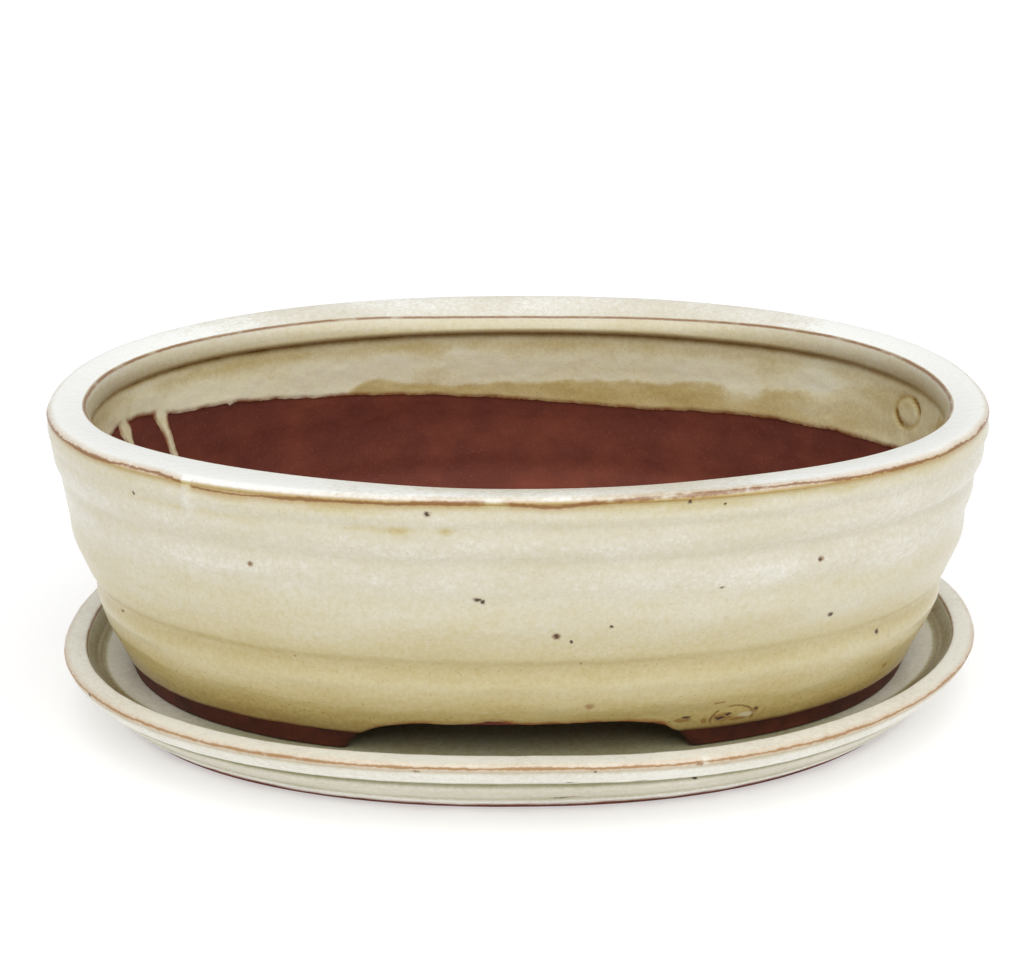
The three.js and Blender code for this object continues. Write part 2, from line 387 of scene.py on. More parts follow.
# Throwing ridges round the outside: height above the soles, size, and width.
RIDGES = (
    (84.0, 0.32, 1.3), (80.8, -0.30, 1.1), (75.5, 0.22, 2.4), (70.0, -0.62, 1.9), (63.5, 0.45, 3.6),
    (49.0, 0.15, 5.0), (33.5, -0.70, 2.4), (27.8, 0.42, 2.5), (23.5, 0.40, 6.0),
)

# How honey-coloured the glaze is: outside by height above the soles, on the lip by the distance down from
# the rim's inner edge, and on the inner wall by height. The highest values, at the lip's lower edge and on
# the wall just under it, are partly brown glaze and partly painted shade: a dark line under the lip's
# overhang.
outside_tint = curve([
    (6, 0.86), (9, 0.82), (13, 0.74), (18, 0.66), (23, 0.6), (27.5, 0.48), (33, 0.58), (38, 0.5),
    (46, 0.37), (56, 0.28), (64, 0.19), (70, 0.25), (76, 0.2), (80.5, 0.25), (84, 0.27), (87, 0.38),
    (88.6, 0.66),
    (90, 0.8),
])
lip_tint_and_shade = curve([(0, 0.24), (3, 0.35), (5.4, 0.44), (6.6, 0.68), (8, 1.0)])
under_lip_tint_and_shade = curve([(84, 0.15), (88, 0.18), (91, 0.26), (94, 0.4), (97.5, 0.52), (98.6, 0.95)])

# The same on top of the rim, by angle: whitest at the two ends.
rim_tint = around_curve([
    (0, -0.1), (30, -0.05), (60, 0.15), (90, 0.09), (120, 0.12), (150, -0.02), (180, -0.1), (240, -0.06),
    (275, 0.12), (310, -0.04),
])

RUN_ANGLE = 232.6  # a run of white glaze that spills over the rim's front edge
# An impressed ring inside the right-hand end: angle, height, half width, half height.
RING_MARK = (11.7, 89.5, 7.3, 5.2)


def turned_place(angle, inset, height):
    """The point of the pot's oval at an angle in degrees."""
    x, y = POT_OVAL.at(math.radians(angle), inset)
    return float(x), float(y), height


def along_wall(degrees, angle):
    """How many millimetres further round the wall these angles are than one angle."""
    ahead, behind = np.radians([angle + 0.5, angle - 0.5])
    one_degree = np.array(POT_OVAL.at(ahead, LIP_AT_ENDS)) - np.array(POT_OVAL.at(behind, LIP_AT_ENDS))
    return (degrees - angle) * float(np.hypot(*one_degree))


def inner_glaze(points, degrees):
    """Signed distance above the ragged edge where the glaze stops inside the bowl."""
    height = points[..., 2]
    ragged = 0.6 * noise_field(points * [1, 1, 0], (11, 11, 1), 3, 7.0)
    distance = height - inner_glaze_edge(degrees) - ragged
    waver = 0.5 * noise_field(points * [0, 0, 1], (1, 1, 6), 2, 9.0)
    for angle, width, low in DRIPS:
        fallen = 84 - height
        middle = along_wall(degrees, angle) + 0.16 * fallen + waver
        half = width / 2 * (1 - 0.25 * smooth(fallen, 0, 14) + 0.5 * bump(fallen, 0, 2.5))
        distance = np.maximum(distance, np.minimum(half - np.abs(middle), height - low))
    return distance


def ring_mark(points, degrees):
    """Distance from the middle of the ring mark, in ring radii, and how deeply it is pressed there."""
    angle, level, half_width, half_height = RING_MARK
    across = along_wall(degrees, angle) / half_width
    up = (points[..., 2] - level) / half_height
    ring = np.hypot(across, up)
    return ring, 0.3 + 0.7 * smooth(-across * up / np.maximum(ring, 0.1) ** 2, 0.0, 0.4)


def inside_tint(points, degrees, glaze):
    height = points[..., 2]
    wander = 1.5 * noise_field(points, (9, 9, 9), 3, 41.0)
    coat = smooth(height - white_coat_edge(degrees) + wander, -1.0, 1.2)
    # Just under the lip this tint rises to a painted shade line, over brown glaze.
    shaded = under_lip_tint_and_shade(height - 0.5 * wander) * (1 - 0.3 * bump(degrees, 15, 35))
    # Here and in the line above, the tint is lowered round the right-hand end (near 15 degrees): painted
    # light, making up for the dimmer light on that end's inner wall.
    bare_coat = 0.6 - 0.28 * bump(degrees, 15, 34)
    tint = shaded + (bare_coat - shaded) * (1 - coat)
    tint = tint + 0.14 * noise_field(points, (22, 22, 9), 2, 51.0)
    for angle, level, radius, strength in WHITE_PATCHES:
        reach = np.hypot(along_wall(degrees, angle), height - level) / radius
        tint = tint - strength * np.exp(-reach ** 2)
    ring, pressed = ring_mark(points, degrees)
    tint = tint + 0.9 * pressed * bump(ring, 1.0, 0.13)
    drip = smooth(inner_glaze_edge(degrees) - height, 0, 2)
    tint = np.maximum(tint, 0.13)
    return tint + (0.22 - tint) * drip * smooth(glaze, -0.5, 0.3)


def streaks(level, degrees, points):
    """Thin brown lines where the glaze has drawn off the wall's small ridges below the rim."""
    broken = smooth(noise_field(points, (16, 16, 5), 2, 61.0), -0.25, 0.35)
    left = smooth(degrees, 214, 232) * smooth(-degrees, -266, -254)
    right = smooth(degrees, 268, 276) * smooth(-degrees, -345, -300)
    upper = 0.16 * bump(level, 86.2, 0.9) * (left + 0.8 * right)
    lower = 0.12 * bump(level, 80.7, 0.8) * left
    smudge = 0.35 * bump(level, 80.5, 1.0) * (bump(degrees, 258, 1.2) + bump(degrees, 262.8, 0.6))
    return (upper + lower) * broken + smudge


# How strongly the brown line shows along the rim's outer edge, by angle, and how far down it has slipped.
rim_break = around_curve([
    (0, 0.8), (20, 0.5), (60, 0.15), (120, 0.15), (160, 0.4), (200, 0.8), (221, 0.9), (222.8, 0.7),
    (224, 0.9), (231.5, 0.8), (232.6, 0.1), (234, 1.0), (250, 1.0), (258, 0.95), (266, 0.7),
    (267.6, 0.35), (269, 0.8),
    (272, 1.0), (276, 0.75), (290, 0.7), (305, 0.8), (330, 0.9),
])
rim_slip = around_curve([
    (0, 0.0), (180, 0.0), (215, -0.1), (231, 0.0), (234, 1.0), (245, 0.8), (256, 0.4), (268, 0.2),
    (272, 0.9), (276, 0.2), (320, 0.0),
])


def section_lengths(inset, height):
    """How far along the section each of its rings is, in millimetres."""
    steps = np.hypot(np.diff(inset[:, 0]), np.diff(height[:, 0]))
    return np.concatenate([[0], np.cumsum(steps)])[:, None]


def raise_arch(height, region, low_edge):
    """Heights of the skirt and of the wall's foot, drawn up to the arched lower edge."""
    low_wall = (region == "outside") & (height < SKIRT_TOP)
    skirt = (height < UNDERSIDE - 0.01) & np.isin(region, ["under", "skirt"])
    top = np.where(low_wall, SKIRT_TOP, UNDERSIDE)
    lifted = top - (top - height) * (top - low_edge) / (top - HEM)
    return np.where(skirt | low_wall, lifted, height), low_wall


def bowl_glaze(points, degrees, region, height, low_edge):
    """Signed distance from the glaze's edge, positive where the bowl is glazed."""
    x = points[..., 0]
    ragged = 0.5 * noise_field(points, (6, 6, 1), 3, 81.0)
    worn = 1.5 * bump(x, -12, 6) + 1.3 * bump(x, 44, 8)
    on_arch = smooth(low_edge, HEM + 1, HEM + 3)
    outer_glaze = height - low_edge + 0.3 - on_arch * (0.5 + worn + ragged)
    glaze = np.where(np.isin(region, ["inside", "floor"]), inner_glaze(points, degrees), outer_glaze)
    glaze = np.where(np.isin(region, ["under", "skirt"]), -3.0, glaze)
    return np.where(np.isin(region, ["rim", "lip"]), GLAZE_LIMIT, glaze)


def bowl_relief(points, degrees, region, height, ridges, run):
    """How far the throwing ridges, the uneven clay and the pressed ring move the surface outwards."""
    inside = np.isin(region, ["inside", "lip"])
    clay = np.isin(region, ["under", "skirt", "floor"])
    broad = noise_field(points, (70, 70, 16), 2)
    middling = noise_field(points, (24, 24, 5), 2, 71.0)
    fine = noise_field(points, (7, 7, 5), 2, 31.0)
    below_rim = smooth(RIM_TOP - height, 1.0, 6.0)
    outer = below_rim * (ridges + 0.45 * broad + 0.16 * middling + 0.08 * fine) + 0.6 * run
    shift = np.where(region == "outside", outer, 0.0)
    shift = shift + inside * (0.35 * broad + 0.15 * fine) * smooth(RIM_TOP - height, 3, 14)
    shift = shift + clay * 0.12 * fine + (region == "rim") * (0.02 * fine + 0.06 * middling)
    ring, pressed = ring_mark(points, degrees)
    stamp = 0.9 * pressed * bump(ring, 1.0, 0.15) - 0.3 * smooth(-ring, -0.9, -0.6)
    return shift - (region == "inside") * stamp


def build_bowl():
    inset, height, scale, widened, dropped, region = bowl_section()
    angle = np.linspace(0, 2 * math.pi, POT_STEPS, endpoint=False)[None, :]
    degrees = np.degrees(angle)
    shape = (len(inset), POT_STEPS)
    height = height - dropped * (rim_drop(degrees) - RIM_DROP)
    low_edge = np.broadcast_to(arch_edge(POT_OVAL.at(angle, FLARE)[0]), shape)
    height, low_wall = raise_arch(height, region, low_edge)
    trimmed = inset + widened * (rim_width(degrees) - LIP_AT_ENDS)
    inset = np.where(low_wall, wall_inset(height - SOLE), trimmed)
    x, y = POT_OVAL.at(angle, inset, scale=scale)
    points = np.stack([x, y, height], 2)
    normals = grid_normals(points)

    outside = region == "outside"
    level = height - SOLE
    wander = 0.5 * np.sin(angle + 0.6) + 0.3 * np.sin(3 * angle)
    vigour = 1 + 0.45 * np.cos(angle - math.radians(320))
    ridges = vigour * sum(size * bump(level + wander, at, width) for at, size, width in RIDGES)
    run = bump(along_wall(degrees, RUN_ANGLE), 0, 1.6) * smooth(level, 77, 82)
    glaze = bowl_glaze(points, degrees, region, height, low_edge)
    coat = GLAZE_THICKNESS * smooth(glaze, -0.5, 1.2) * np.where(outside, 0.5, 1.0)
    shift = bowl_relief(points, degrees, region, height, ridges, run) + coat
    points = points + normals * shift[..., None]

    lengths = section_lengths(inset, height)
    outer_corner = lengths[np.flatnonzero(region == "rim")[1]]
    inner_corner = lengths[np.flatnonzero(region == "lip")[2]]
    washed = 0.04 * bump(degrees, 325, 45) + 0.1 * run
    outer_tint = outside_tint(level + 0.5 * wander)
    outer_tint = np.where(outside, outer_tint + streaks(level, degrees, points) - washed, outer_tint)
    tint = np.where(region == "inside", inside_tint(points, degrees, glaze), outer_tint)
    # The lip's tint darkens at its lower edge: painted shade of the overhang, over brown glaze.
    tint = np.where(region == "lip", lip_tint_and_shade(lengths - inner_corner), tint)
    on_rim = rim_tint(degrees) + smooth(outer_corner - lengths, -0.6, 0.6)
    fields = {
        "glaze_mm": np.clip(glaze, -GLAZE_LIMIT, GLAZE_LIMIT),
        "edge_mm": outer_corner - lengths - rim_slip(degrees),
        "inner_mm": np.broadcast_to(lengths - inner_corner, shape),
        "worn_edge": np.broadcast_to(rim_break(degrees), shape),
        "tint": np.where(region == "rim", on_rim, tint),
    }
    bowl = turned_solid("glazed_bowl", points, fields)
    cut_drains(bowl)
    return bowl


def cut_drains(bowl):
    """Two round drainage holes through the floor."""
    for side in (-1, 1):
        middle = (POT_OVAL.middle[0] + side * DRAIN_SPACING / 2, POT_OVAL.middle[1], FLOOR)
        bpy.ops.mesh.primitive_cylinder_add(
            vertices=DRAIN_SIDES,
            radius=DRAIN_RADIUS * MM,
            depth=DRAIN_CUT * MM,
            location=Vector(middle) * MM,
        )
        cutter = bpy.context.object
        modifier = bowl.modifiers.new("drain", "BOOLEAN")
        modifier.object = cutter
        modifier.operation = "DIFFERENCE"
        modifier.solver = "EXACT"
        bpy.context.view_layer.objects.active = bowl
        bpy.ops.object.modifier_apply(modifier=modifier.name)
        bpy.data.objects.remove(cutter)


# ---- Feet ----

FOOT_TUCK = 0.8  # the feet reach this far up under the glaze's hem
FOOT_RADIUS = 1.2
FOOT_SLOPE = 5.0  # how much longer a foot is at its sole than at its top
FOOT_END_WIDTH = 0.72  # the foot's section at its very ends, as a share of the full one

def foot_section():
    """The closed outline of a foot, as (inset, height) points."""
    top = GLAZE_LINE + FOOT_TUCK
    sole = SOLE - 0.15
    outer, inner = FLARE - 0.1, INNER_SKIRT
    lean = np.linspace(0, 1, 8)
    outline = [(outer + FOOT_TAPER * t, top + (sole + FOOT_RADIUS - top) * t) for t in lean]
    outline += arc((outer + FOOT_TAPER + FOOT_RADIUS, sole + FOOT_RADIUS), FOOT_RADIUS, 190, 270, 5)
    flat_start = outer + FOOT_TAPER + 2 * FOOT_RADIUS
    outline += [(inset, sole) for inset in np.linspace(flat_start, inner - 1.4, 5)]
    outline += arc((inner - 1.0, sole + 1.0), 1.0, -80, 0, 4)
    outline += [(inner, height) for height in np.linspace(sole + 2.0, top, 5)]
    outline += [(inset, top) for inset in np.linspace(inner - 2, outer + 2, 5)]
    return np.array(outline)


def build_foot(name, side):
    """A C-shaped strip of bare clay round one end of the pot; side is -1 for the left end."""
    section = foot_section()
    count = len(section)
    top = section[:, 1].max()
    drop = (top - section[:, 1]) / (top - SOLE)
    end_x = ARCH_HALF - (ARCH_SHIFT if side > 0 else 0) + FOOT_SLOPE * np.clip(drop, 0, 1) ** 0.8
    share = np.linspace(0, 1, FOOT_STEPS)[:, None]
    reach = np.minimum(share, 1 - share) * FOOT_STEPS
    rounding = np.sqrt(1 - (1 - np.clip((reach + 0.4) / 2.6, 0, 1)) ** 2)
    fullness = FOOT_END_WIDTH + (1 - FOOT_END_WIDTH) * rounding
    centre = section.mean(0)
    inset = centre[0] + (section[:, 0] - centre[0]) * fullness
    height = centre[1] + (section[:, 1] - centre[1]) * fullness
    start = np.arccos((end_x / (POT_OVAL.half[0] - section[:, 0])) ** (OVAL_POWER / 2))
    angle = start * (2 * share - 1)
    if side < 0:
        angle = math.pi - angle
    x, y = POT_OVAL.at(angle, inset)
    points = np.stack([x, y, height], 2)
    points[..., :2] += 0.15 * noise_field(points, (7, 7, 5), 2, 11.0)[..., None]
    faces = []
    for row in range(FOOT_STEPS - 1):
        for column in range(count):
            this, following = row * count + column, row * count + (column + 1) % count
            faces.append((this, following, following + count, this + count))
    faces.append(tuple(range(count))[::-1])
    faces.append(tuple((FOOT_STEPS - 1) * count + column for column in range(count)))
    foot = mesh_object(name, points.reshape(-1, 3), faces)
    fix_normals(foot)
    return foot


def fix_normals(made):
    work = bmesh.new()
    work.from_mesh(made.data)
    bmesh.ops.recalc_face_normals(work, faces=work.faces)
    work.to_mesh(made.data)
    work.free()


# ---- Drip tray ----

TRAY_RIM = TRAY_HIGH[2]
TRAY_FLOOR = TRAY_RIM - 6.0
TRAY_RIM_WIDTH = 7.4
TRAY_BASE = 18.6
TRAY_RECESS = TRAY_BASE + 9.0
TRAY_UNDERSIDE = TRAY_FLOOR - 6.0
TRAY_RIM_RADIUS = 1.5
TRAY_EDGE_RADIUS = 1.2
TRAY_CORNER = 2.0
TRAY_FLAT = 38.0  # inset of the last floor ring that follows the rim at its own distance
TRAY_SPRING = 1.15  # the rim's front has warped upwards this much in the fire
TRAY_SPRING_MIDDLE = -4.0

# Inset of the tray's outer wall by height: two bands above the base, with a turned groove under each.
tray_inset = curve([
    (1.2, 18.4), (1.9, 17.6), (2.9, 16.5), (3.9, 15.3), (4.8, 14.4), (5.3, 14.1), (5.8, 14.0),
    (6.2, 13.7), (6.7, 13.1), (7.4, 12.3), (8.4, 11.2), (9.6, 10.0), (10.8, 9.0), (11.9, 8.3),
    (12.5, 8.1), (13.0, 8.3), (13.4, 8.7), (13.7, 8.5), (14.2, 7.1), (14.9, 5.7), (15.9, 4.3),
    (17.3, 3.0), (18.8, 1.9), (20.3, 1.0), (21.5, 0.4),
])

# How honey-coloured the glaze is down the tray's outer wall, by height.
tray_tint = curve([
    (0, 1.0), (0.9, 0.8), (1.6, 0.35), (2.6, 0.12), (5.0, 0.15), (5.8, 0.4), (6.6, 0.34), (10, 0.32),
    (12.6, 0.34), (13.4, 0.56), (14.0, 0.35), (15.0, 0.15), (18, 0.08), (20.5, 0.15), (21.6, 0.35),
    (22.4, 0.6), (24, 0.5),
])


def tray_section():
    section = Section()
    inner = TRAY_RIM_WIDTH
    for scale in np.linspace(0.04, 0.97, 10):
        section.add([(TRAY_RECESS + 3, TRAY_UNDERSIDE)], "under", scale=scale)
    section.add(arc((TRAY_RECESS + 3, TRAY_UNDERSIDE - TRAY_CORNER), TRAY_CORNER, 90, 160, 4), "under")
    for height in np.linspace(TRAY_UNDERSIDE - 3, 1.4, 6):
        section.add([(TRAY_RECESS + 0.6 + height / 16, height)], "under")
    section.add(arc((TRAY_RECESS - 0.8, 1.0), 1.0, 10, -80, 4), "base")
    section.add([(inset, 0.0) for inset in np.linspace(TRAY_RECESS - 2, TRAY_BASE + 1.6, 4)], "base")
    section.add(arc((TRAY_BASE + 1.1, 0.9), 0.9, -100, -170, 4), "base")
    for height in np.linspace(1.2, TRAY_RIM - 2.5, 64):
        section.add([(float(tray_inset(height)), height)], "outside")
    section.add(arc((TRAY_RIM_RADIUS, TRAY_RIM - TRAY_RIM_RADIUS), TRAY_RIM_RADIUS, 175, 95, 7), "rim")
    for share in np.linspace(0.08, 0.92, 8):
        section.add([(TRAY_RIM_RADIUS + share * (inner - 2.7), TRAY_RIM - 0.25 * share)], "rim")
    corner = (inner - TRAY_EDGE_RADIUS, TRAY_RIM - TRAY_EDGE_RADIUS - 0.25)
    section.add(arc(corner, TRAY_EDGE_RADIUS, 80, 0, 6), "rim")
    for share in np.linspace(0.15, 0.9, 8):
        section.add([(inner + 3.6 * share, TRAY_RIM - 1.5 - 3.9 * share)], "well")
    section.add(arc((inner + 5.6, TRAY_FLOOR + TRAY_CORNER), TRAY_CORNER, 215, 265, 5), "well")
    section.add([(inset, TRAY_FLOOR) for inset in np.linspace(inner + 6.5, TRAY_FLAT, 20)], "floor")
    for scale in np.linspace(0.95, 0.03, 14):
        section.add([(TRAY_FLAT, TRAY_FLOOR)], "floor", scale=scale)
    return section.arrays()


def tray_lift(x, y, inset, height, region):
    """How far the tray's front edge has sprung up, most of it near the middle."""
    reach = np.where(x < TRAY_SPRING_MIDDLE, 62, 40)
    sprung = np.where(y < 0, bump(x, TRAY_SPRING_MIDDLE, reach), 0.0)
    upper = smooth(height, 9, 16) * np.isin(region, ["outside", "rim", "well"])
    return TRAY_SPRING * sprung * upper * smooth(-inset, -TRAY_RIM_WIDTH - 4, -TRAY_RIM_WIDTH)


def build_tray():
    inset, height, scale, _, _, region = tray_section()
    angle = np.linspace(0, 2 * math.pi, TRAY_STEPS, endpoint=False)[None, :]
    x, y = TRAY_OVAL.at(angle, inset, scale)
    shape = x.shape
    points = np.stack([x, y, height + tray_lift(x, y, inset, height, region)], 2)
    normals = grid_normals(points)
    broad = noise_field(points, (60, 60, 12), 2, 3.0)
    fine = noise_field(points, (7, 7, 3), 2, 17.0)
    still = np.isin(region, ["base", "under"])
    shift = np.where(still, 0.03 * fine, 0.22 * broad + 0.10 * fine)
    shift = np.where(region == "floor", -0.1 + 0.06 * broad, shift)
    points = points + normals * shift[..., None]

    lengths = section_lengths(inset, height)
    rim = np.flatnonzero(region == "rim")
    depth = lengths - lengths[rim[-3]]
    ragged = 0.35 * noise_field(points * [1, 1, 0], (9, 9, 1), 3, 23.0)
    glaze = np.where(still, -5.0, height - 1.3 - ragged)
    in_well = np.clip(0.5 + 0.05 * depth, 0.0, 0.72) * smooth(depth, 0, 1.5)
    tint = np.where(np.isin(region, ["outside", "base"]), tray_tint(height), in_well)
    # The floor's tint is higher along the middle, where the pot stands over it, than at the two ends:
    # partly the glaze's greener colour near the pot and partly painted shade of the pot above.
    tint = np.where(region == "floor", 0.26 + 0.34 * smooth(-np.abs(x), -120, -75), tint)
    fields = {
        "glaze_mm": np.clip(glaze, -GLAZE_LIMIT, GLAZE_LIMIT),
        "edge_mm": np.broadcast_to(lengths[rim[1]] - lengths, shape),
        "inner_mm": np.broadcast_to(depth, shape),
        "worn_edge": np.broadcast_to(tray_break(np.degrees(angle)), shape),
        "tint": np.broadcast_to(np.where(region == "rim", 0.0, tint), shape),
    }
    return turned_solid("glazed_tray", points, fields)


# How strongly the brown line shows along the tray's rim, by angle.
tray_break = around_curve([
    (0, 0.8), (60, 0.5), (90, 0.4), (120, 0.5), (180, 0.9), (205, 0.8), (225, 0.9), (240, 0.75),
    (262, 0.95), (275, 1.0), (286, 0.95), (287.5, 0.5), (289, 0.95), (300, 0.85), (320, 0.9),
    (343, 0.9), (350, 0.85),
])


# ---- Materials ----

NOISE_ROUGHNESS = 0.55
GLAZE_ROUGHNESS = 0.25
BARE_ROUGHNESS = 0.85
# Places of a colour mix node's sockets, which share their names with its other kinds of socket.
MIX_FACTOR, MIX_FIRST_COLOUR, MIX_SECOND_COLOUR, MIX_COLOUR_OUT = 0, 6, 7, 2

def linear(red, green, blue):
    """A shader colour from 0 to 255 display values."""
    values = [value / 255 for value in (red, green, blue)]
    return tuple(v / 12.92 if v <= 0.04045 else ((v + 0.055) / 1.055) ** 2.4 for v in values) + (1.0,)


class Graph:
    """Shorthand for building one material's nodes."""

    def __init__(self, name):
        self.material = bpy.data.materials.new(name)
        self.material.use_nodes = True
        self.tree = self.material.node_tree
        self.tree.nodes.clear()
        where = self.node("ShaderNodeTexCoord").outputs["Object"]
        scaled = self.node("ShaderNodeVectorMath", operation="SCALE")
        self.plug(scaled.inputs[0], where)
        self.plug(scaled.inputs["Scale"], 1 / MM)
        self.place = scaled.outputs[0]

    def node(self, kind, **settings):
        made = self.tree.nodes.new(kind)
        for key, value in settings.items():
            setattr(made, key, value)
        return made

    def plug(self, socket, value):
        if isinstance(value, bpy.types.NodeSocket):
            self.tree.links.new(value, socket)
        else:
            socket.default_value = value

    def field(self, name):
        return self.node("ShaderNodeAttribute", attribute_name=name).outputs["Fac"]

    def math(self, operation, first, second=0.0, third=0.0):
        made = self.node("ShaderNodeMath", operation=operation)
        for socket, value in zip(made.inputs, (first, second, third)):
            self.plug(socket, value)
        return made.outputs[0]

    def vector(self, operation, first, second=(0, 0, 0), output=0):
        made = self.node("ShaderNodeVectorMath", operation=operation)
        self.plug(made.inputs[0], first)
        self.plug(made.inputs[1], second)
        return made.outputs[output]

    def ease(self, value, low, high, start=0.0, end=1.0):
        made = self.node("ShaderNodeMapRange", interpolation_type="SMOOTHSTEP")
        keys = ("Value", "From Min", "From Max", "To Min", "To Max")
        for key, setting in zip(keys, (value, low, high, start, end)):
            self.plug(made.inputs[key], setting)
        return made.outputs[0]

    def times(self, first, second):
        return self.math("MULTIPLY", first, second)

    def around_zero(self, value):
        """Noise from 0 to 1, moved to lie on both sides of zero."""
        return self.math("SUBTRACT", value, 0.5)

    def noise(self, size, detail=3.0, stretch=(1, 1, 1)):
        """Noise from 0 to 1 with features of about this size in millimetres."""
        mapping = self.node("ShaderNodeMapping", vector_type="POINT")
        self.plug(mapping.inputs["Vector"], self.place)
        mapping.inputs["Scale"].default_value = [1 / (size * s) for s in stretch]
        made = self.node("ShaderNodeTexNoise")
        self.plug(made.inputs["Vector"], mapping.outputs[0])
        self.plug(made.inputs["Scale"], 1.0)
        self.plug(made.inputs["Detail"], detail)
        self.plug(made.inputs["Roughness"], NOISE_ROUGHNESS)
        return made.outputs["Fac"]

    def cells(self, size):
        """Distance to the nearest of many scattered points, about this many millimetres apart."""
        made = self.node("ShaderNodeTexVoronoi")
        self.plug(made.inputs["Vector"], self.place)
        self.plug(made.inputs["Scale"], 1 / size)
        return made.outputs["Distance"]

    def ramp(self, value, stops):
        made = self.node("ShaderNodeValToRGB")
        elements = made.color_ramp.elements
        for _ in stops[2:]:
            elements.new(0.5)
        for element, (position, colour) in zip(elements, stops):
            element.position = position
            element.color = colour
        self.plug(made.inputs["Fac"], value)
        return made.outputs["Color"]

    def mix(self, factor, first, second):
        made = self.node("ShaderNodeMix", data_type="RGBA", clamp_factor=True)
        self.plug(made.inputs[MIX_FACTOR], factor)
        self.plug(made.inputs[MIX_FIRST_COLOUR], first)
        self.plug(made.inputs[MIX_SECOND_COLOUR], second)
        return made.outputs[MIX_COLOUR_OUT]

    def finish(self, colour, roughness, height, specular=0.5):
        shader = self.node("ShaderNodeBsdfPrincipled")
        self.plug(shader.inputs["Base Color"], colour)
        self.plug(shader.inputs["Roughness"], roughness)
        shader.inputs["Specular IOR Level"].default_value = specular
        relief = self.node("ShaderNodeBump")
        relief.inputs["Distance"].default_value = MM
        self.plug(relief.inputs["Height"], height)
        self.plug(shader.inputs["Normal"], relief.outputs[0])
        output = self.node("ShaderNodeOutputMaterial")
        self.plug(output.inputs["Surface"], shader.outputs[0])
        return self.material


def add_up(graph, *values):
    total = values[0]
    for value in values[1:]:
        total = graph.math("ADD", total, value)
    return total


def clay_colour(graph):
    """Red-brown fired clay: cloudy, with darker and lighter grains."""
    cloud = graph.noise(18, 4)
    base = graph.mix(graph.ease(cloud, 0.35, 0.7), linear(100, 43, 28), linear(118, 55, 35))
    grain = graph.noise(0.9, 3)
    base = graph.mix(graph.ease(grain, 0.55, 0.75, 0, 0.5), base, linear(142, 74, 48))
    return graph.mix(graph.ease(graph.cells(1.6), 0.0, 0.16, 0.6, 0.0), base, linear(48, 22, 18))


def nearest_mark(graph, marks):
    """Distance to the nearest small mark, in that mark's own radii.

    Each mark is its middle point, its half width and its half height.
    """
    ragged = graph.node("ShaderNodeTexNoise")
    graph.plug(ragged.inputs["Vector"], graph.place)
    graph.plug(ragged.inputs["Scale"], 0.9)
    wobble = graph.vector("SUBTRACT", ragged.outputs["Color"], (0.5, 0.5, 0.5))
    shifted = graph.vector("ADD", graph.place, wobble)
    nearest = 9.0
    for point, half_width, half_height in marks:
        offset = graph.vector("SUBTRACT", shifted, tuple(point))
        scaled = graph.vector("MULTIPLY", offset, (1 / half_width, 1 / half_width, 1 / half_height))
        nearest = graph.math("MINIMUM", graph.vector("LENGTH", scaled, output=1), nearest)
    return nearest


def scar(graph, colour, tint):
    """A crater in the glaze low on the front right: a thin arc over a pale patch."""
    around = nearest_mark(graph, on_wall([SCAR], POT_OVAL, wall_inset, SOLE))
    from_arc = graph.math("ABSOLUTE", graph.math("SUBTRACT", around, 1.0))
    arc_line = graph.ease(from_arc, 0.02, 0.11, 0.75, 0.0)
    upper_part = graph.ease(tint, 0.77, 0.81, 1, 0)
    broken = graph.times(graph.ease(graph.noise(4, 2), 0.34, 0.5), upper_part)
    colour = graph.mix(graph.times(arc_line, broken), colour, linear(116, 84, 44))
    patch = nearest_mark(graph, on_wall([PALE_PATCH], POT_OVAL, wall_inset, SOLE))
    return graph.mix(graph.ease(patch, 0.5, 1.1, 0.8, 0.0), colour, linear(206, 196, 164))


def glaze_body(graph, tint, stops, lightened_inner_stops):
    """The glaze's colour, mottled and finely specked; on the inner wall a lighter set of stops paints in
    light against the shade inside the bowl.
    """
    cloud = graph.around_zero(graph.noise(14, 4, (2.2, 2.2, 0.7)))
    mottle = graph.around_zero(graph.noise(2.2, 4))
    pebble = graph.math("SUBTRACT", graph.cells(1.5), 0.45)
    mottling = add_up(graph, graph.times(cloud, 0.32), graph.times(mottle, 0.18), graph.times(pebble, 0.10))
    shade = graph.math("ADD", tint, mottling)
    colour = graph.ramp(shade, stops)
    # The inner wall's stops are lighter: painted light, making up for the shade inside the bowl.
    if lightened_inner_stops:
        indoors = graph.ease(graph.field("inner_mm"), LIP_DEPTH, LIP_DEPTH + 2)
        colour = graph.mix(indoors, colour, graph.ramp(shade, lightened_inner_stops))
    grain = graph.noise(0.55, 2)
    colour = graph.mix(graph.ease(grain, 0.52, 0.8, 0, 0.22), colour, linear(150, 130, 84))
    speck_room = graph.ease(tint, 0.2, 0.9, 0.03, 0.17)
    specks = graph.math("LESS_THAN", graph.cells(1.9), speck_room)
    return graph.mix(graph.times(specks, 0.5), colour, linear(120, 88, 44))


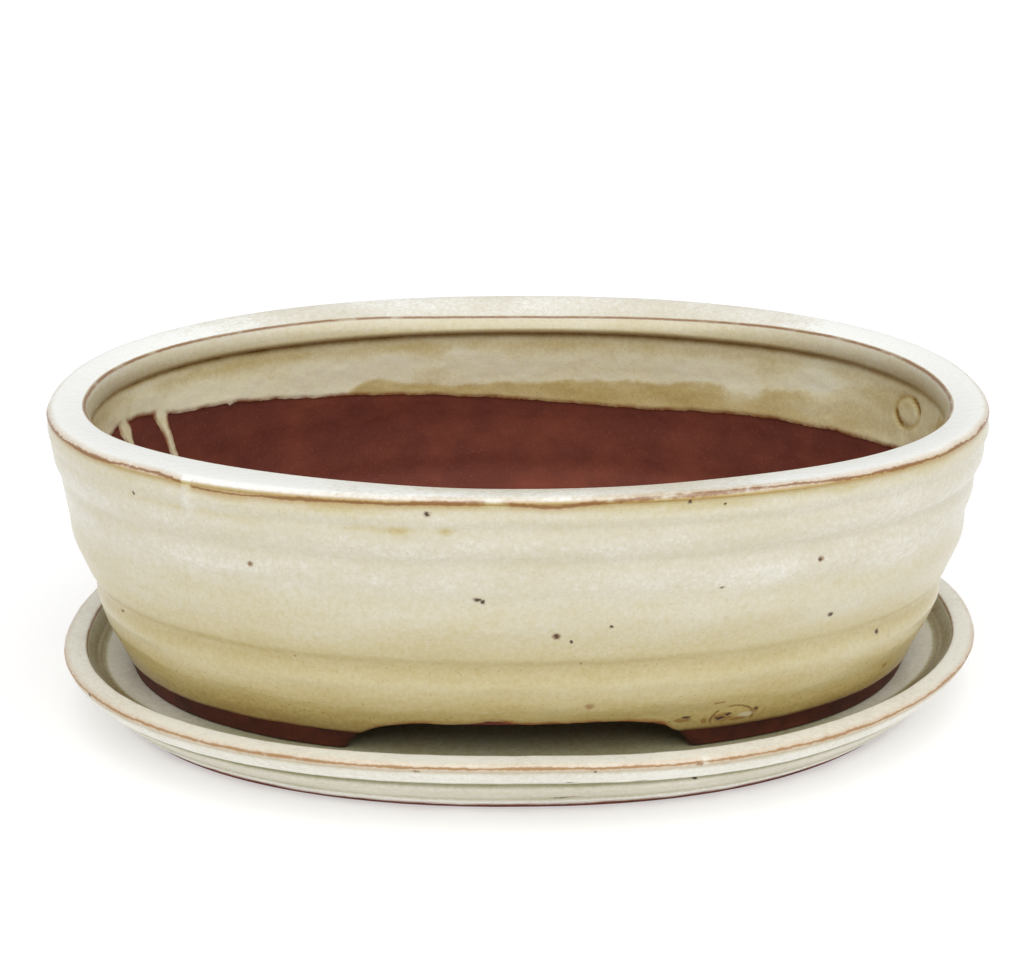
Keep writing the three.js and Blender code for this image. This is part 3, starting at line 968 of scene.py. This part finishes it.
def edge_lines(graph, colour, brown, edge_width):
    """Brown lines where the glaze breaks over the rim's outer and inner edges."""
    frayed = graph.times(graph.around_zero(graph.noise(1.6, 3)), 0.9)
    wander = add_up(graph, graph.around_zero(graph.noise(11, 4)), frayed)
    distance = graph.math("ABSOLUTE", graph.math("ADD", graph.field("edge_mm"), wander))
    width = graph.ease(graph.noise(17, 3), 0.3, 0.7, edge_width * 0.35, edge_width)
    line = graph.ease(graph.math("DIVIDE", distance, width), 0.3, 1.0, 1.0, 0.0)
    strength = graph.ease(graph.math("ADD", graph.field("worn_edge"), graph.noise(5, 4)), 0.85, 1.25)
    stain = graph.ease(graph.math("DIVIDE", distance, edge_width), 0.0, 3.0, 0.6, 0.0)
    colour = graph.mix(graph.times(stain, strength), colour, linear(178, 138, 76))
    colour = graph.mix(graph.times(line, graph.times(strength, 0.78)), colour, brown)
    inner_distance = graph.math("ADD", graph.field("inner_mm"), graph.times(wander, 0.4))
    inner_line = graph.ease(graph.math("ABSOLUTE", inner_distance), 0.1, 0.7, 0.85, 0.0)
    inner_strength = graph.ease(graph.noise(13, 3), 0.25, 0.5, 0.35, 1.0)
    return graph.mix(graph.times(inner_line, inner_strength), colour, brown)


def glaze_material(name, stops, brown, edge_width, pits, stains, lightened_inner_stops=None):
    """Cream glaze over red clay: honey where it pools, brown where it breaks, bare clay below its edge."""
    graph = Graph(name)
    tint = graph.field("tint")
    colour = glaze_body(graph, tint, stops, lightened_inner_stops)
    colour = edge_lines(graph, colour, brown, edge_width)

    fray = graph.times(graph.around_zero(graph.noise(2.2, 4)), 1.2)
    ragged = graph.math("ADD", graph.field("glaze_mm"), fray)
    rust = graph.ease(ragged, 0.0, 2.2, 0.95, 0.0)
    rusty = graph.ease(graph.noise(8, 3), 0.35, 0.6, 0.3, 1.0)
    colour = graph.mix(graph.times(rust, rusty), colour, linear(146, 80, 34))
    covered = graph.ease(ragged, -0.15, 0.15)
    colour = graph.mix(covered, clay_colour(graph), colour)

    if lightened_inner_stops:
        colour = scar(graph, colour, tint)
    pit = nearest_mark(graph, pits)
    blot = nearest_mark(graph, stains)
    colour = graph.mix(graph.ease(blot, 0.55, 1.1, 0.7, 0.0), colour, linear(140, 96, 50))
    colour = graph.mix(graph.ease(pit, 1.0, 1.9, 0.3, 0.0), colour, linear(160, 134, 84))
    colour = graph.mix(graph.ease(pit, 0.65, 1.1, 0.95, 0.0), colour, linear(74, 48, 34))

    roughness = graph.ease(covered, 0.0, 1.0, BARE_ROUGHNESS, GLAZE_ROUGHNESS)
    peel = graph.times(graph.noise(2.6, 2), 0.14)
    dimples = graph.times(graph.noise(0.9, 2), 0.04)
    pinholes = graph.ease(graph.cells(4.5), 0.02, 0.07, -0.12, 0.0)
    holes = graph.ease(pit, 0.5, 1.4, -0.5, 0.0)
    height = add_up(graph, peel, dimples, pinholes, holes, graph.times(covered, 0.2))
    return graph.finish(colour, roughness, height)


# Small faults in the glaze outside: angle, height above the soles, half width, half height.
PITS = (
    (261.0, 85.7, 0.9, 0.8), (240.1, 65.8, 0.9, 0.8), (241.2, 64.9, 0.6, 0.5), (265.7, 58.5, 1.2, 0.6),
    (266.2, 57.6, 0.6, 0.7), (272.6, 46.1, 0.8, 0.7), (274.1, 44.0, 0.5, 0.5), (278.1, 49.1, 0.5, 0.5),
    (275.3, 34.4, 0.4, 1.2), (303.1, 64.6, 0.8, 0.7), (303.9, 63.6, 0.5, 0.5), (306.4, 44.6, 1.0, 0.7),
    (290.3, 59.5, 0.9, 0.3), (318.4, 31.0, 0.8, 0.8), (321.3, 28.2, 0.8, 1.0), (310.5, 28.6, 0.7, 0.7),
    (276.1, 19.9, 0.5, 0.5), (276.6, 20.7, 0.4, 0.4), (278.0, 21.6, 0.4, 0.4), (285.5, 88.0, 0.6, 0.5),
    (289.5, 86.6, 0.4, 0.4), (293.8, 10.8, 1.6, 0.6), (294.9, 12.0, 1.0, 0.6), (299.0, 12.8, 0.6, 0.8),
    (289.0, 12.4, 1.5, 0.4), (243.4, 34.4, 0.4, 0.4), (241.1, 16.0, 0.5, 0.4), (221.7, 19.4, 0.4, 0.4),
    (223.4, 81.7, 0.4, 0.5), (226.6, 70.9, 0.4, 0.4), (209.9, 33.1, 0.9, 0.3),
)
SCAR = (295.6, 10.4, 6.8, 5.2)
PALE_PATCH = (297.6, 11.0, 2.8, 1.3)
# Brown stains in the glaze, given in the same way, then the tray's own pits and stains.
STAINS = (
    (272.6, 46.1, 1.7, 1.5), (276.5, 20.4, 2.0, 1.5), (325.1, 14.1, 1.8, 1.0), (294.2, 11.2, 3.6, 2.0),
    (299.0, 12.6, 1.3, 1.6), (288.6, 11.6, 3.2, 1.2), (296.5, 9.8, 3.4, 0.8), (291.6, 10.6, 1.2, 1.5),
    (293.0, 17.4, 2.4, 0.6),
    (303.1, 64.6, 1.4, 1.2), (240.1, 65.8, 1.4, 1.2),
)
TRAY_PITS = (
    (276.0, 22.4, 0.5, 0.4), (285.5, 16.0, 0.4, 0.4), (288.0, 13.2, 0.8, 0.4), (273.3, 6.4, 2.6, 0.3),
    (273.8, 17.2, 1.6, 0.25), (208.8, 22.6, 0.9, 0.4), (343.7, 22.6, 0.8, 0.4),
)
TRAY_STAINS = (
    (287.0, 22.6, 1.6, 0.7), (259.9, 22.6, 1.3, 0.6), (274.5, 7.2, 3.5, 0.5), (281.0, 16.6, 3.0, 0.5),
)


def on_wall(marks, oval, inset_at, base):
    """Marks given by angle and height, as points on a wall with their sizes."""
    placed = []
    for angle, height, half_width, half_height in marks:
        x, y = oval.at(math.radians(angle), float(inset_at(height)))
        placed.append(((float(x), float(y), height + base), half_width, half_height))
    return placed


def pot_glaze():
    stops = [
        (0.0, linear(247, 248, 243)), (0.1, linear(229, 225, 212)), (0.2, linear(217, 211, 191)),
        (0.45, linear(203, 191, 149)), (0.72, linear(186, 166, 106)), (1.0, linear(150, 116, 54)),
    ]
    # Lighter stops for the inner wall: painted light against the shade inside the bowl and under the lip.
    lightened_inner_stops = [
        (0.0, linear(252, 251, 228)), (0.2, linear(247, 242, 204)), (0.45, linear(225, 210, 156)),
        (0.72, linear(202, 180, 114)), (1.0, linear(158, 120, 56)),
    ]
    brown = linear(130, 78, 22)
    pits = on_wall(PITS, POT_OVAL, wall_inset, SOLE)
    inner_speck = (turned_place(52.7, 11, 95.5), 1.3, 1.6)
    stains = on_wall(STAINS, POT_OVAL, wall_inset, SOLE) + [inner_speck]
    return glaze_material("cream_glaze", stops, brown, 0.85, pits, stains, lightened_inner_stops)


def tray_glaze():
    stops = [
        (0.0, linear(240, 239, 230)), (0.25, linear(214, 208, 190)), (0.5, linear(182, 181, 148)),
        (0.75, linear(156, 142, 98)), (1.0, linear(96, 66, 40)),
    ]
    pits = on_wall(TRAY_PITS, TRAY_OVAL, tray_inset, 0)
    stains = on_wall(TRAY_STAINS, TRAY_OVAL, tray_inset, 0)
    return glaze_material("tray_glaze", stops, linear(158, 112, 54), 0.9, pits, stains)


def foot_clay():
    """Bare clay of the feet, darkened where the glaze has fumed it."""
    graph = Graph("bare_clay")
    fumed = graph.ease(graph.noise(7, 3), 0.35, 0.75, 0.35, 0.8)
    colour = graph.mix(fumed, clay_colour(graph), linear(58, 30, 26))
    grit = graph.times(graph.noise(1.1, 4), 0.25)
    height = add_up(graph, grit, graph.times(graph.noise(6, 2), 0.3))
    return graph.finish(colour, 0.72, height, specular=0.35)


# ---- Floor, light and camera ----

FLOOR_SIZE = 30.0  # metres
FLOOR_GLOW = 0.42  # the pale floor is lit a little from within, as a light table is
ROOM_LIGHT = 0.48
SUN_STRENGTH = 2.1
SUN_WIDTH = math.radians(60)
SUN_TILT = (math.radians(27), math.radians(4), 0)


def plain_floor():
    bpy.ops.mesh.primitive_plane_add(size=FLOOR_SIZE)
    floor = bpy.context.object
    floor.name = "studio_floor"
    graph = Graph("pale_floor")
    shade = graph.mix(graph.noise(60, 2), (0.60, 0.60, 0.60, 1), (0.61, 0.61, 0.61, 1))
    shader = graph.node("ShaderNodeBsdfPrincipled")
    graph.plug(shader.inputs["Base Color"], shade)
    shader.inputs["Roughness"].default_value = 0.9
    shader.inputs["Specular IOR Level"].default_value = 0.0
    shader.inputs["Emission Color"].default_value = (1, 1, 1, 1)
    shader.inputs["Emission Strength"].default_value = FLOOR_GLOW
    output = graph.node("ShaderNodeOutputMaterial")
    graph.plug(output.inputs["Surface"], shader.outputs[0])
    floor.data.materials.append(graph.material)


def studio_light():
    """A white room and one very broad lamp overhead, a little to the front and the right."""
    world = bpy.data.worlds.new("studio")
    bpy.context.scene.world = world
    world.use_nodes = True
    background = world.node_tree.nodes["Background"]
    background.inputs["Color"].default_value = (1.0, 1.0, 1.0, 1.0)
    background.inputs["Strength"].default_value = ROOM_LIGHT
    data = bpy.data.lights.new("overhead", "SUN")
    data.energy = SUN_STRENGTH
    data.angle = SUN_WIDTH
    lamp = bpy.data.objects.new("overhead", data)
    bpy.context.scene.collection.objects.link(lamp)
    lamp.rotation_euler = SUN_TILT
    bpy.context.scene.view_settings.view_transform = "Standard"


def make_camera():
    data = bpy.data.cameras.new("camera")
    data.lens = LENS
    data.sensor_width = SENSOR_WIDTH
    camera = bpy.data.objects.new("camera", data)
    bpy.context.scene.collection.objects.link(camera)
    level = math.cos(CAMERA_ELEVATION)
    sideways, forwards = math.sin(CAMERA_TURN) * level, math.cos(CAMERA_TURN) * level
    back = Vector((-sideways, -forwards, math.sin(CAMERA_ELEVATION)))
    camera.location = (Vector(CAMERA_AIM) + back * CAMERA_DISTANCE) * MM
    camera.rotation_euler = (-back).to_track_quat("-Z", "Y").to_euler()
    bpy.context.scene.camera = camera


# ---- The scene ----

def place(piece, body, node, material):
    piece.data.materials.append(material)
    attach(piece, body)
    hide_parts(node)


make_camera()
studio_light()
plain_floor()

clay = foot_clay()
place(build_bowl(), "pot", "pot_bowl", pot_glaze())
place(build_foot("left_foot", -1), "pot", "foot_left", clay)
place(build_foot("right_foot", 1), "pot", "foot_right", clay)
place(build_tray(), "tray", "drip_tray", tray_glaze())
